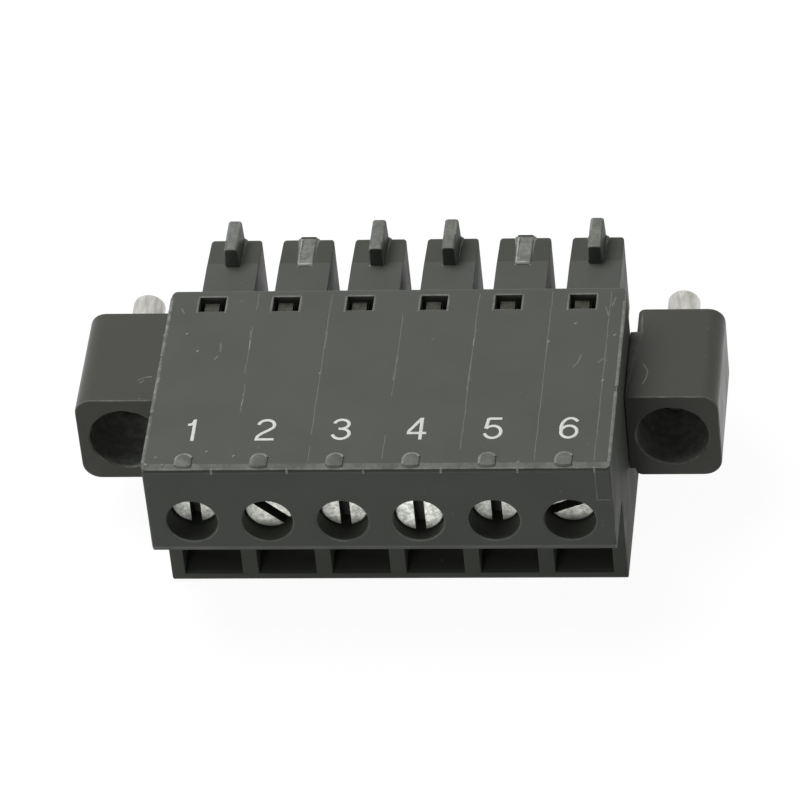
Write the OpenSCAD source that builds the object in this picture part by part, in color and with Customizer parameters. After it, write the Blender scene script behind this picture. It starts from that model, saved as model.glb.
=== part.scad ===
// Pluggable screw terminal block: one moulded housing with a comb of contact towers,
// clamping screws reached from the front, and a captive-screw flange at each end.
// X runs along the pole row, Y from the wire side to the mating side, Z is up.
// The origin is at the middle of the length and the width, on the resting face.

/* [Poles] */
// Number of poles
poles = 6; // [2:1:12]
// Distance between neighbouring poles
pitch = 3.81; // [3.7:0.01:5.08]

/* [Housing] */
// Thickness of the wall between two poles
partition_t = 0.83; // [0.7:0.01:0.9]
// Thickness of the wall beyond the last pole
end_wall_t = 0.71; // [0.65:0.01:1.5]
// Height of the housing
housing_h = 11.1; // [10.9:0.1:13]
// Length of the housing without the towers
body_l = 14; // [13.8:0.1:16]
// Distance of the wire face behind the screw face
setback = 3.9; // [3.2:0.1:4.4]
// Height of the underside of the screw face
overhang_z = 5.55; // [5.45:0.05:5.7]
// Radius of the two lower front edges
front_r = 0.38; // [0.1:0.01:0.6]
// Length of the bevel on the upper front edge
top_bevel = 0.34; // [0.1:0.02:0.5]
// Height of that bevel
top_bevel_h = 0.09; // [0.05:0.01:0.2]
// Distance that the lip under the bevel stands ahead of the screw face
lip_d = 0.08; // [0.02:0.01:0.12]
// Height of the sloped underside of the lip
lip_h = 0.26; // [0.1:0.02:0.4]
// Radius of the upright edges at the back
back_r = 0.55; // [0.2:0.05:0.9]

/* [Screw holes] */
// Diameter of a screw hole
hole_d = 2.6; // [2.5:0.05:2.8]
// Height of the screw axis
hole_z = 7.48; // [7.4:0.01:7.6]
// Depth of a screw hole to its shoulder
hole_depth = 3.6; // [3.5:0.05:3.9]
// Bevel round the mouth of a screw hole or a flange bore
lead_in = 0.08; // [0.02:0.01:0.12]

/* [Wire chambers] */
// Height of the sill under a wire mouth
sill_z = 0.55; // [0.2:0.05:0.6]
// Height of the upper edge of a wire mouth
mouth_z = 5.2; // [4.8:0.05:5.35]
// Height of the chamber floor
floor_z = 0.85; // [0.7:0.05:1]
// Height of the chamber ceiling
ceiling_z = 9.3; // [9.2:0.05:9.8]
// Distance of the chamber front behind the screw face
chamber_y0 = 4.95; // [4.8:0.05:5]
// Distance of the chamber back behind the screw face
chamber_y1 = 12.15; // [12.1:0.05:12.3]

/* [Test windows and pole marks] */
// Width of a test window
window_w = 1.34; // [0.8:0.02:1.7]
// Length of a test window
window_l = 1.15; // [0.8:0.05:1.3]
// Wall between a test window and the back of the housing
window_back = 0.6; // [0.4:0.05:0.8]
// Width of the raised mark at each pole
mark_w = 0.86; // [0.6:0.02:1.4]
// Length of the raised mark
mark_l = 1.05; // [0.8:0.05:1.5]
// Height of the raised mark
mark_h = 0.15; // [0.05:0.01:0.3]

/* [Towers] */
// Length of a tower
tower_l = 7.8; // [6.5:0.1:10]
// Width of a tower at the housing
tower_base_w = 2.78; // [2.62:0.02:3.1]
// Width of a tower at its tip
tower_tip_w = 2.58; // [2.4:0.02:2.6]
// Height of the underside of a tower
tower_z = 3.4; // [3.2:0.05:3.5]
// Height of a tower from its underside
tower_h = 4.75; // [4.6:0.05:5.2]
// Wall of a tower
tower_wall = 0.42; // [0.3:0.02:0.5]
// Thickness of the tip wall
tip_wall = 0.5; // [0.3:0.05:0.9]
// Radius of the upright edges of the tip
tip_r = 0.32; // [0.1:0.02:0.4]
// Width of the pin mouth in the tip
pin_mouth_w = 1.3; // [1:0.05:1.5]
// Height of the pin mouth in the tip
pin_mouth_h = 1.6; // [1.2:0.05:2]
// Bevel round the pin mouth
pin_mouth_bevel = 0.18; // [0.05:0.01:0.25]
// Length of the lowered part of the tower top
step_l = 2.25; // [1.5:0.05:3]
// Depth of the lowered part at the tip
step_drop = 0.2; // [0.08:0.01:0.3]

/* [Coding ribs] */
// Width of a coding rib
rib_w = 0.76; // [0.5:0.02:1]
// Radius of the fillet at the foot of a rib
rib_foot_r = 0.16; // [0.1:0.02:0.3]
// Height of a rib above the tower
rib_h = 1.16; // [0.8:0.02:1.6]
// Length of a rib
rib_l = 2.4; // [1.6:0.05:3]
// Height of the stump of a cut rib above the tower
stump_h = 0.06; // [0.02:0.02:0.4]

/* [Clamping screws] */
// Radial play of a screw head in its hole
head_play = 0.08; // [0.02:0.01:0.1]
// Length of a screw head
head_l = 1.2; // [0.9:0.05:1.4]
// Diameter of the screw thread
thread_d = 2; // [1.6:0.05:2.1]
// Radial play of the thread in its nut
thread_play = 0.04; // [0.02:0.01:0.1]
// Length of a screw without its pivot
screw_l = 6.2; // [6.1:0.05:6.25]
// Diameter of the pivot that carries the shoe
pivot_d = 1.3; // [1:0.05:1.4]
// Length of the pivot
pivot_l = 0.8; // [0.5:0.05:1]
// Width of a screwdriver slot
slot_w = 0.52; // [0.4:0.01:0.7]
// Depth of a screwdriver slot
slot_depth = 0.8; // [0.3:0.05:0.85]

/* [Clamping shoes and contacts] */
// Play of a shoe on each side of its chamber
shoe_play = 0.14; // [0.05:0.01:0.2]
// Length of a shoe
shoe_l = 3.05; // [2.7:0.05:3.1]
// Height of the lowest edge of a shoe
shoe_z = 2.6; // [2.4:0.05:2.7]
// Play of a contact in its chamber
contact_play = 0.05; // [0.02:0.01:0.08]
// Thickness of the contact strip
strip_t = 0.4; // [0.3:0.02:0.45]
// Thickness of the nut block
nut_t = 1.2; // [0.9:0.05:1.25]
// Distance of the nut block below the screw axis
nut_drop = 1.85; // [1.4:0.05:1.9]
// Width of a contact socket over its two tines
socket_w = 1.5; // [1.3:0.02:1.6]
// Height of a contact socket
socket_h = 1.6; // [1:0.05:2.2]
// Thickness of a tine
tine_t = 0.26; // [0.18:0.01:0.3]
// Gap between the tines where they grip the pin
grip_gap = 0.44; // [0.3:0.02:0.6]
// Thickness of the folded test lug
lug_t = 0.2; // [0.1:0.02:0.24]
// Depth of the test lug under the top of the housing
lug_drop = 0.4; // [0.2:0.05:1]
// Width of the slit that parts the lug
lug_slit = 0.1; // [0.06:0.02:0.2]

/* [Flanges] */
// Width of a flange
flange_w = 4.74; // [4.5:0.02:6]
// Height of a flange
flange_h = 5.2; // [4.7:0.05:6]
// Length of a flange
flange_l = 7; // [6.5:0.1:8]
// Distance of a flange behind the screw face
flange_y = 8.2; // [7.9:0.1:8.6]
// Distance of the flange screw from the housing
flange_bore_x = 2.31; // [2.25:0.01:2.5]
// Height of the flange screw
flange_bore_z = 5.97; // [5.9:0.01:6.2]
// Diameter of the flange bore
flange_bore_d = 3.7; // [3.4:0.05:3.8]
// Thickness of the wall that the flange screw passes
flange_wall = 1.8; // [1:0.05:2.4]
// Radius of the upper outer edge
flange_top_r = 0.85; // [0.3:0.05:1]
// Radius of the lower outer edge
flange_low_r = 0.95; // [0.3:0.05:1.3]
// Radius of the edges beside the housing
flange_in_r = 0.35; // [0.1:0.05:0.5]
// Gap between the flange and the housing, closed by the web
flange_gap = 0.3; // [0.1:0.02:0.36]
// Distance of the web above the underside of the flange
web_inset = 0.42; // [0.3:0.02:0.6]
// Depth of the dovetail key
key_depth = 0.4; // [0.25:0.01:0.42]
// Height of the dovetail key at its root
key_h = 2; // [1.5:0.1:2.6]
// Distance of the key behind the flange front
key_inset = 0.5; // [0.2:0.05:1]
// Play between the key and its groove
key_play = 0.03; // [0.01:0.01:0.05]

/* [Flange screws] */
// Radial play of a flange screw in its bore and its wall
flange_play = 0.08; // [0.02:0.01:0.1]
// Length of a flange screw head
flange_head_l = 1.2; // [0.8:0.05:2.5]
// Width of the slot in the head
flange_slot_w = 0.6; // [0.4:0.05:0.8]
// Depth of the slot in the head
flange_slot_depth = 0.5; // [0.3:0.05:0.7]
// Diameter of the neck behind the head
neck_d = 1.95; // [1.7:0.05:2.1]
// Diameter of the thread
flange_thread_d = 2.42; // [2.25:0.02:2.6]
// Length of the thread
flange_thread_l = 1.7; // [1.2:0.05:2.2]
// Diameter of the plain end
tip_d = 1.66; // [1.3:0.02:1.7]
// Length of the plain end
tip_l = 1.85; // [1.2:0.05:2.5]

/* [Hidden] */
$fn = 48;
over = 0.5; // how far a cut runs past a face, and a joined solid into its neighbour
end_play = 0.05; // gap at a shoulder that turns
lug_play = 0.12; // gap between a test lug and its window

// Which towers keep their coding rib, from pole 1 on
rib_kept = [true, false, true, true, false, true];
// How far each screw head lies under the screw face, and the way its slot points
head_depths = [1.45, 1.05, 1.15, 0.75, 1.4, 1.4];
slot_angles = [90, -42, 90, 90, 90, 10];

chamber_w = pitch - partition_t;
housing_w = poles * pitch - partition_t + 2 * end_wall_t;
total_l = body_l + tower_l;
tower_top = tower_z + tower_h;
socket_z = tower_z + tower_h / 2;
cavity_w = tower_tip_w - 2 * tower_wall;
cavity_h = tower_h - 2 * tower_wall - step_drop;
contact_w = chamber_w - 2 * contact_play;
contact_y0 = chamber_y0 + contact_play;
contact_y1 = chamber_y1 - contact_play;
shoe_w = chamber_w - 2 * shoe_play;
socket_y0 = body_l - window_back - lug_play;
ramp_bevel = strip_t * sqrt(2);
flange_x = housing_w / 2;
flange_z = flange_bore_z - flange_h / 2;
key_flare = key_depth * 0.6;

function pole_x(i) = (i - (poles + 1) / 2) * pitch;
function of_pole(list, i) = list[(i - 1) % len(list)];

// Points of an arc, in the order of its angles
function arc(c, r, a0, a1, n = 6) =
    [for (k = [0:n]) c + r * [cos(a0 + (a1 - a0) * k / n), sin(a0 + (a1 - a0) * k / n)]];

// Everything is drawn from the screw face, then moved to the common frame
module from_front() {
    translate([0, -total_l / 2, 0]) children();
}

// Extrudes a side profile (Y, Z) evenly about X = 0
module across(w) {
    rotate([90, 0, 90]) linear_extrude(w, center = true) children();
}

// Extrudes a front profile (X, Z) from y to y + l
module along(y, l) {
    translate([0, y + l, 0]) rotate([90, 0, 0]) linear_extrude(l) children();
}

// A cylinder or a cone along Y, from y to y + l
module rod(d, y, l, d_end = 0) {
    translate([0, y, 0]) rotate([-90, 0, 0])
        cylinder(d1 = d, d2 = d_end > 0 ? d_end : d, h = l);
}

// Side profile of the body: the screw face overhangs the wire face
module body_profile() {
    edge_r = 0.25;
    lip_t = 0.03;
    lip_z = housing_h - top_bevel_h;
    polygon(concat(
        [[setback, overhang_z]],
        arc([setback + front_r, front_r], front_r, 180, 270),
        arc([body_l - edge_r, edge_r], edge_r, 270, 360, 3),
        arc([body_l - edge_r, housing_h - edge_r], edge_r, 0, 90, 3),
        [[top_bevel, housing_h], [0, lip_z], [0, lip_z - lip_t], [lip_d, lip_z - lip_h]],
        arc([lip_d + front_r, overhang_z + front_r], front_r, 180, 270)
    ));
}

module body_plan() {
    front_corner = 0.15;
    side = housing_w / 2;
    polygon(concat(
        [[front_corner - side, 0], [side - front_corner, 0], [side, front_corner]],
        arc([side - back_r, body_l - back_r], back_r, 0, 90),
        arc([back_r - side, body_l - back_r], back_r, 90, 180),
        [[-side, front_corner]]
    ));
}

module tower_plan() {
    base = tower_base_w / 2;
    tip = tower_tip_w / 2;
    polygon(concat(
        [[-base, body_l - over], [base, body_l - over]],
        arc([tip - tip_r, total_l - tip_r], tip_r, 0, 90),
        arc([tip_r - tip, total_l - tip_r], tip_r, 90, 180)
    ));
}

module tower_profile() {
    ledge = 0.7 * step_drop;
    edge_r = 0.2;
    step_y = total_l - step_l;
    tip_top = tower_top - step_drop;
    polygon(concat(
        [[body_l - over, tower_z]],
        arc([total_l - edge_r, tower_z + edge_r], edge_r, 270, 360, 3),
        arc([total_l - edge_r, tip_top - edge_r], edge_r, 0, 90, 3),
        [[step_y + ledge, tower_top - ledge], [step_y, tower_top], [body_l - over, tower_top]]
    ));
}

// Section of a rib: filleted foot, slight draft, rounded upper edges
module rib_profile() {
    foot_x = rib_w / 2 + rib_foot_r;
    draft = 0.04;
    edge_r = 0.14;
    half = concat(
        [[foot_x, -over]],
        arc([foot_x, rib_foot_r - step_drop], rib_foot_r, 270, 180, 3),
        arc([rib_w / 2 - draft - edge_r, rib_h - edge_r], edge_r, 0, 90, 3)
    );
    polygon(concat(half, [for (k = [len(half) - 1:-1:0]) [-half[k][0], half[k][1]]]));
}

module rib() {
    along(total_l - rib_l, rib_l) rib_profile();
}

// The low stump that a side cutter leaves of a rib, sloped a little down to the tip
module stump() {
    intersection() {
        rib();
        across(2 * rib_w) polygon([
            [total_l - rib_l - 0.1, -over], [total_l - rib_l - 0.1, stump_h],
            [total_l, stump_h - step_drop / 2], [total_l, -over]
        ]);
    }
}

module tower(i) {
    intersection() {
        linear_extrude(housing_h) tower_plan();
        across(tower_base_w + 1) tower_profile();
    }
    translate([0, 0, tower_top])
        if (of_pole(rib_kept, i)) rib();
        else stump();
}

module pole_mark() {
    r = mark_w / 2;
    translate([0, top_bevel, housing_h - over]) linear_extrude(over + mark_h) {
        translate([-r, 0]) square([mark_w, mark_l - r]);
        translate([0, mark_l - r]) circle(r);
    }
}

// Wire mouth and clamping chamber in one profile, with a sloped sill
module chamber_profile() {
    polygon([
        [setback - over, sill_z], [setback + 0.3, sill_z], [setback + 1, floor_z],
        [chamber_y1, floor_z], [chamber_y1, ceiling_z], [chamber_y0, ceiling_z],
        [chamber_y0, mouth_z], [setback - over, mouth_z]
    ]);
}

module pin_mouth() {
    steps = 4;
    rotate([90, 0, 0]) translate([0, 0, -total_l]) {
        translate([-pin_mouth_w / 2, -pin_mouth_h / 2, -over])
            cube([pin_mouth_w, pin_mouth_h, tip_wall + 2 * over]);
        for (k = [0:steps - 1]) {
            grow = pin_mouth_bevel * (steps - k) / steps;
            translate([-pin_mouth_w / 2 - grow, -pin_mouth_h / 2 - grow, -over])
                cube([pin_mouth_w + 2 * grow, pin_mouth_h + 2 * grow,
                    over + pin_mouth_bevel * (k + 1) / steps]);
        }
    }
}

// All that is hollow at one pole
module pole_hollows() {
    translate([0, 0, hole_z]) {
        rod(hole_d + 2 * lead_in, lip_d, lead_in, hole_d);
        rod(hole_d + 2 * lead_in, lip_d - over, over);
        rod(hole_d, 0, hole_depth);
        rod(thread_d + 4 * thread_play, hole_depth - over, chamber_y0 - hole_depth + 2 * over);
    }
    across(chamber_w) chamber_profile();
    translate([-cavity_w / 2, chamber_y1 - over, socket_z - step_drop / 2 - cavity_h / 2])
        cube([cavity_w, total_l - tip_wall - chamber_y1 + over, cavity_h]);
    translate([0, 0, socket_z]) pin_mouth();
    translate([-window_w / 2, body_l - window_back - window_l, socket_z])
        cube([window_w, window_l, housing_h]);
}

// Dovetail on the right side: its root lies on the side face, play widens it all round
module key_profile(play = 0) {
    root = key_h / 2 + play;
    deep = key_h / 2 + key_flare + play;
    polygon([[0.2, -root], [0.2, root], [0, root], [-key_depth - play, deep],
        [-key_depth - play, -deep], [0, -root]]);
}

module key_groove() {
    y = flange_y + key_inset - key_play;
    translate([flange_x, 0, flange_bore_z]) along(y, body_l - y + over) key_profile(key_play);
}

module housing() {
    color("#4a4c49") from_front() difference() {
        union() {
            intersection() {
                across(housing_w) body_profile();
                linear_extrude(housing_h) body_plan();
            }
            for (i = [1:poles]) translate([pole_x(i), 0, 0]) {
                tower(i);
                pole_mark();
            }
        }
        for (i = [1:poles]) translate([pole_x(i), 0, 0]) pole_hollows();
        key_groove();
        mirror([1, 0, 0]) key_groove();
    }
}

// Front profile of the right flange, clear of the housing side by the gap
module flange_profile() {
    r = flange_in_r;
    polygon(concat(
        arc([flange_gap + r, flange_z + r], r, 180, 270, 4),
        arc([flange_w - flange_low_r, flange_z + flange_low_r], flange_low_r, 270, 360, 8),
        arc([flange_w - flange_top_r, flange_z + flange_h - flange_top_r], flange_top_r, 0, 90),
        arc([flange_gap + r, flange_z + flange_h - r], r, 90, 180, 4)
    ));
}

// Web that joins the flange to the housing side, as long as the wide bore and flush on top
module flange_web(l) {
    translate([0, flange_y, flange_z + web_inset])
        cube([flange_gap + over, l, flange_h - web_inset]);
}

module flange() {
    wall_y = flange_y + flange_l - flange_wall;
    key_y = flange_y + key_inset;
    from_front() translate([flange_x + key_play, 0, 0]) difference() {
        union() {
            along(flange_y, flange_l) flange_profile();
            flange_web(wall_y - flange_y);
            translate([0, 0, flange_bore_z])
                along(key_y, wall_y - key_y) translate([-key_play, 0]) key_profile();
        }
        translate([flange_bore_x, 0, flange_bore_z]) {
            rod(flange_bore_d + 2 * lead_in, flange_y, lead_in, flange_bore_d);
            rod(flange_bore_d, flange_y - over, wall_y - flange_y + over);
            rod(neck_d + 2 * flange_play, wall_y - over, flange_wall + 2 * over);
        }
    }
}

module flange_left() {
    color("#45463f") mirror([1, 0, 0]) flange();
}

module flange_right() {
    color("#45463f") flange();
}

// Slotted screw: head in the hole, thread in the nut, pivot in the shoe
module clamp_screw(i) {
    head_d = hole_d - 2 * head_play;
    edge = 0.12;
    color("#b4b6b0") from_front()
        translate([pole_x(i), of_pole(head_depths, i), hole_z]) difference() {
            union() {
                rod(head_d - 2 * edge, 0, edge, head_d);
                rod(head_d, edge, head_l - edge);
                rod(thread_d, head_l - 0.1, screw_l - head_l + 0.1);
                rod(pivot_d, screw_l - 0.1, pivot_l + 0.1);
            }
            rotate([0, -of_pole(slot_angles, i), 0])
                translate([-head_d, -over, -slot_w / 2])
                cube([2 * head_d, over + slot_depth, slot_w]);
        }
}

// Wedge that rides on the screw's pivot: its sloped jaw closes on the ramp of the contact
module shoe_profile() {
    top = ceiling_z - contact_play - strip_t - 0.15;
    jaw_y = 1.7;
    slope = shoe_l - jaw_y;
    polygon([
        [0, top], [0, hole_z - 2.4], [0.75, shoe_z], [jaw_y, shoe_z],
        [shoe_l, shoe_z + slope], [shoe_l, top]
    ]);
}

module clamp_shoe(i) {
    shoe_y = of_pole(head_depths, i) + screw_l + end_play;
    color("#8f9390") from_front() translate([pole_x(i), shoe_y, 0]) difference() {
        across(shoe_w) shoe_profile();
        translate([0, 0, hole_z]) rod(pivot_d + 0.1, -over, over + pivot_l);
    }
}

// Side profile of the bent strip: nut block, roof, back, ramp and foot
module strip_profile() {
    low = floor_z + contact_play;
    high = ceiling_z - contact_play;
    ramp_z = 4.2;
    back = contact_y1 - strip_t;
    foot_top = low + strip_t;
    polygon([
        [contact_y0, high], [contact_y0, hole_z - nut_drop],
        [contact_y0 + nut_t, hole_z - nut_drop], [contact_y0 + nut_t, high - strip_t],
        [back, high - strip_t], [back, ramp_z], [back - ramp_z + foot_top, foot_top],
        [contact_y0 + 1.4, foot_top], [contact_y0 + 1.4, low],
        [contact_y1 - ramp_z - strip_t + ramp_bevel + low, low],
        [contact_y1, ramp_z + strip_t - ramp_bevel], [contact_y1, high]
    ]);
}

// Plan of the right-hand tine: it bows in to grip the pin and opens at its mouth
module tine_plan() {
    y0 = socket_y0;
    y1 = total_l - tip_wall - 0.3;
    grip_y = y1 - 1.3;
    out = socket_w / 2;
    polygon([
        [0, y0 - tine_t], [out, y0 - tine_t], [out, y0 + 1.5], [grip_gap / 2 + tine_t, grip_y],
        [out, y1], [out - tine_t, y1], [grip_gap / 2, grip_y], [out - tine_t, y0 + 1.5],
        [out - tine_t, y0], [0, y0]
    ]);
}

module socket() {
    neck_w = socket_w - 2 * tine_t;
    y = contact_y1 - strip_t / 2;
    translate([-neck_w / 2, y, socket_z - strip_t / 2])
        cube([neck_w, socket_y0 - y, strip_t]);
    translate([0, 0, socket_z - socket_h / 2]) linear_extrude(socket_h) {
        tine_plan();
        mirror([1, 0]) tine_plan();
    }
}

// Folded lug under the test window, within reach of a probe
module test_lug() {
    top = housing_h - lug_drop;
    fold = lug_t / 2;
    y0 = body_l - window_back - window_l + lug_play;
    y1 = socket_y0;
    difference() {
        across(window_w - 3 * lug_play) polygon([
            [y0, socket_z], [y0, top - fold], [y0 + fold, top], [y1 - fold, top],
            [y1, top - fold], [y1, socket_z], [y1 - lug_t, socket_z], [y1 - lug_t, top - lug_t],
            [y0 + lug_t, top - lug_t], [y0 + lug_t, socket_z]
        ]);
        translate([0.12, y0 - over, socket_z + socket_h / 2 + lug_slit])
            cube([lug_slit, window_l + 2 * over, housing_h]);
    }
}

module contact(i) {
    color("#c0bda8") from_front() translate([pole_x(i), 0, 0]) {
        difference() {
            across(contact_w) strip_profile();
            translate([0, 0, hole_z])
                rod(thread_d + 2 * thread_play, contact_y0 - over, nut_t + 2 * over);
        }
        socket();
        test_lug();
    }
}

// Captive screw: slotted head in the flange bore, neck through the wall, thread and plain end
module flange_screw() {
    wall_end = flange_y + flange_l;
    head_d = flange_bore_d - 2 * flange_play;
    head_y = wall_end - flange_wall - end_play - flange_head_l;
    thread_y = wall_end + end_play;
    tip_y = thread_y + flange_thread_l;
    cone = 0.2;
    from_front() translate([flange_x + key_play + flange_bore_x, 0, flange_bore_z])
        difference() {
            union() {
                rod(head_d, head_y, flange_head_l);
                rod(neck_d, head_y + flange_head_l - 0.1, flange_wall + 2 * end_play + 0.2);
                rod(flange_thread_d, thread_y, flange_thread_l - cone);
                rod(flange_thread_d, tip_y - cone, cone, tip_d);
                rod(tip_d, tip_y - cone, cone + tip_l - cone);
                rod(tip_d, tip_y + tip_l - cone, cone, tip_d - 2 * cone);
            }
            translate([-head_d, head_y - over, -flange_slot_w / 2])
                cube([2 * head_d, over + flange_slot_depth, flange_slot_w]);
        }
}

module flange_screw_left() {
    color("#c6c6c2") mirror([1, 0, 0]) flange_screw();
}

module flange_screw_right() {
    color("#c6c6c2") flange_screw();
}

housing();
flange_left();
flange_right();
for (i = [1:poles]) {
    clamp_screw(i);
    clamp_shoe(i);
    contact(i);
}
flange_screw_left();
flange_screw_right();
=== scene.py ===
import math
import random

import bmesh
import bpy
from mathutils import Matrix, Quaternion, Vector


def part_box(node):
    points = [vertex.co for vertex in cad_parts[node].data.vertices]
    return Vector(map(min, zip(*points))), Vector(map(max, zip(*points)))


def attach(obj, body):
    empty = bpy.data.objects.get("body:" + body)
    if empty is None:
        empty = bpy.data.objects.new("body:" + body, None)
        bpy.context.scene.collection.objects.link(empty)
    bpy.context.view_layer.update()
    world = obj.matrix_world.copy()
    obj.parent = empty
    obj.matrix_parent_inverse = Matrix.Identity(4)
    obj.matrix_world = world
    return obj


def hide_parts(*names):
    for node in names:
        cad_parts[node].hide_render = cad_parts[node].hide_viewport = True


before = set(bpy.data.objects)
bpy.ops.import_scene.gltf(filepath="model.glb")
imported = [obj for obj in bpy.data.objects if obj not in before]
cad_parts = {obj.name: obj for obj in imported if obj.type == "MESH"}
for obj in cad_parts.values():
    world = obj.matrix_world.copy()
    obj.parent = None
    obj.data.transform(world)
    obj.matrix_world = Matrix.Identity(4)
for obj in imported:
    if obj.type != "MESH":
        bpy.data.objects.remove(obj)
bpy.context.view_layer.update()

mm = 0.001
poles = range(1, 7)
sides = ("left", "right")
housingLow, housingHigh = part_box("housing")
screwLow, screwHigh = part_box("clamp_screw_1")
markHeight = 0.15 * mm                  # the pole marks stand this far above the top face
lipDepth = 0.08 * mm                    # the lip over the screw face stands this far ahead of it
topZ = housingHigh.z - markHeight
frontY = housingLow.y
screwZ = (screwLow.z + screwHigh.z) / 2
print("frame loaded with", len(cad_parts), "nodes")


def poleX(i):
    low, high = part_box(f"clamp_shoe_{i}")
    return (low.x + high.x) / 2


# ---- camera and light
view = {
    "azimuth": 9.3, "elevation": 40.1, "roll": -6.4,    # degrees
    "distance": 342 * mm, "target": (-0.1 * mm, 0, 6.2 * mm), "lens": 300,
}
# place, diameter and power of each round softbox, in mm and watts
softboxes = {
    "top": {"place": (-85, 40, 255), "size": 210, "power": 0.5},
    "left": {"place": (-240, 20, 90), "size": 160, "power": 0.03},
    "front": {"place": (-75, -250, 20), "size": 120, "power": 0.21},
}
room = {"ambient": 0.07, "paper": "#8c8c8c", "shadowed": "#5c5c5c", "lift": 0.95}


def addCamera():
    azimuth, elevation = math.radians(view["azimuth"]), math.radians(view["elevation"])
    away = Vector((
        math.sin(azimuth) * math.cos(elevation),
        -math.cos(azimuth) * math.cos(elevation),
        math.sin(elevation),
    ))
    camera = bpy.data.objects.new("camera", bpy.data.cameras.new("camera"))
    bpy.context.scene.collection.objects.link(camera)
    camera.location = Vector(view["target"]) + away * view["distance"]
    turn = (-away).to_track_quat("-Z", "Y") @ Quaternion((0, 0, 1), math.radians(view["roll"]))
    camera.rotation_euler = turn.to_euler()
    camera.data.lens = view["lens"]
    camera.data.clip_start = 0.01
    bpy.context.scene.camera = camera


def addSoftboxes():
    for name, settings in softboxes.items():
        lamp = bpy.data.lights.new(name + "Softbox", "AREA")
        lamp.shape = "DISK"
        lamp.size = settings["size"] * mm
        lamp.energy = settings["power"]
        holder = bpy.data.objects.new(name + "Softbox", lamp)
        bpy.context.scene.collection.objects.link(holder)
        holder.location = Vector(settings["place"]) * mm
        holder.rotation_euler = (-holder.location).to_track_quat("-Z", "Y").to_euler()


# ---- materials
# sockets of the Mix node when it mixes colours
mixAmount, mixFirst, mixSecond, mixedColour = 0, 6, 7, 2


def linear(hexColour):
    channels = [int(hexColour[k:k + 2], 16) / 255 for k in (1, 3, 5)]
    return [c / 12.92 if c <= 0.04045 else ((c + 0.055) / 1.055) ** 2.4 for c in channels] + [1]


def addNode(owner, kind, inputs=None, out=0, **settings):
    tree = owner.node_tree
    node = tree.nodes.new(kind)
    for key, value in settings.items():
        setattr(node, key, value)
    for key, value in (inputs or {}).items():
        if isinstance(value, bpy.types.NodeSocket):
            tree.links.new(value, node.inputs[key])
        else:
            node.inputs[key].default_value = value
    return node.outputs[out] if node.outputs else None


def newMaterial(name):
    material = bpy.data.materials.new(name)
    material.use_nodes = True
    material.node_tree.nodes.clear()
    return material


def inMillimetres(material, scale=(1, 1, 1)):
    place = addNode(material, "ShaderNodeTexCoord", out="Object")
    return addNode(
        material, "ShaderNodeMapping", {"Vector": place, "Scale": [s / mm for s in scale]}
    )


def finishMaterial(material, sockets):
    shader = addNode(material, "ShaderNodeBsdfPrincipled", sockets)
    addNode(material, "ShaderNodeOutputMaterial", {"Surface": shader})
    return material


housingLook = {
    "colour": "#646762", "shade": "#5d605b", "dust": "#83867f", "pale": "#b0b3ac",
    "gloss": (0.44, 0.58), "sheen": 0.12, "grainSize": 0.14, "grainHeight": 0.012,
}
# a coarser grain, darkened as painted shade for the lowered tops of the towers, the recessed wire face and
# the ends
coarseShadedLook = {**housingLook, "colour": "#5a5d57", "shade": "#51544e", "gloss": (0.55, 0.66)}
# painted shade for the bores of the screw holes and the band under the lip
paintedShadeLook = {**housingLook, "colour": "#50534d", "shade": "#494c46", "gloss": (0.6, 0.7)}
# polished cores make the chamber walls glossier; their darker colour is painted shade, so the chambers look
# deeper
chamberShadeLook = {**housingLook, "colour": "#50524e", "shade": "#494b47", "gloss": (0.32, 0.42)}
# rubbed and paler: partly wear, partly a painted highlight
rubbedHighlightLook = {**housingLook, "pale": "#8b8e88"}
flangeLook = {
    "colour": "#4c4d47", "shade": "#464741", "dust": "#6c6c64", "pale": "#92928a",
    "gloss": (0.3, 0.42), "sheen": 0.24, "grainSize": 0.2, "grainHeight": 0.006,
}


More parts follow.
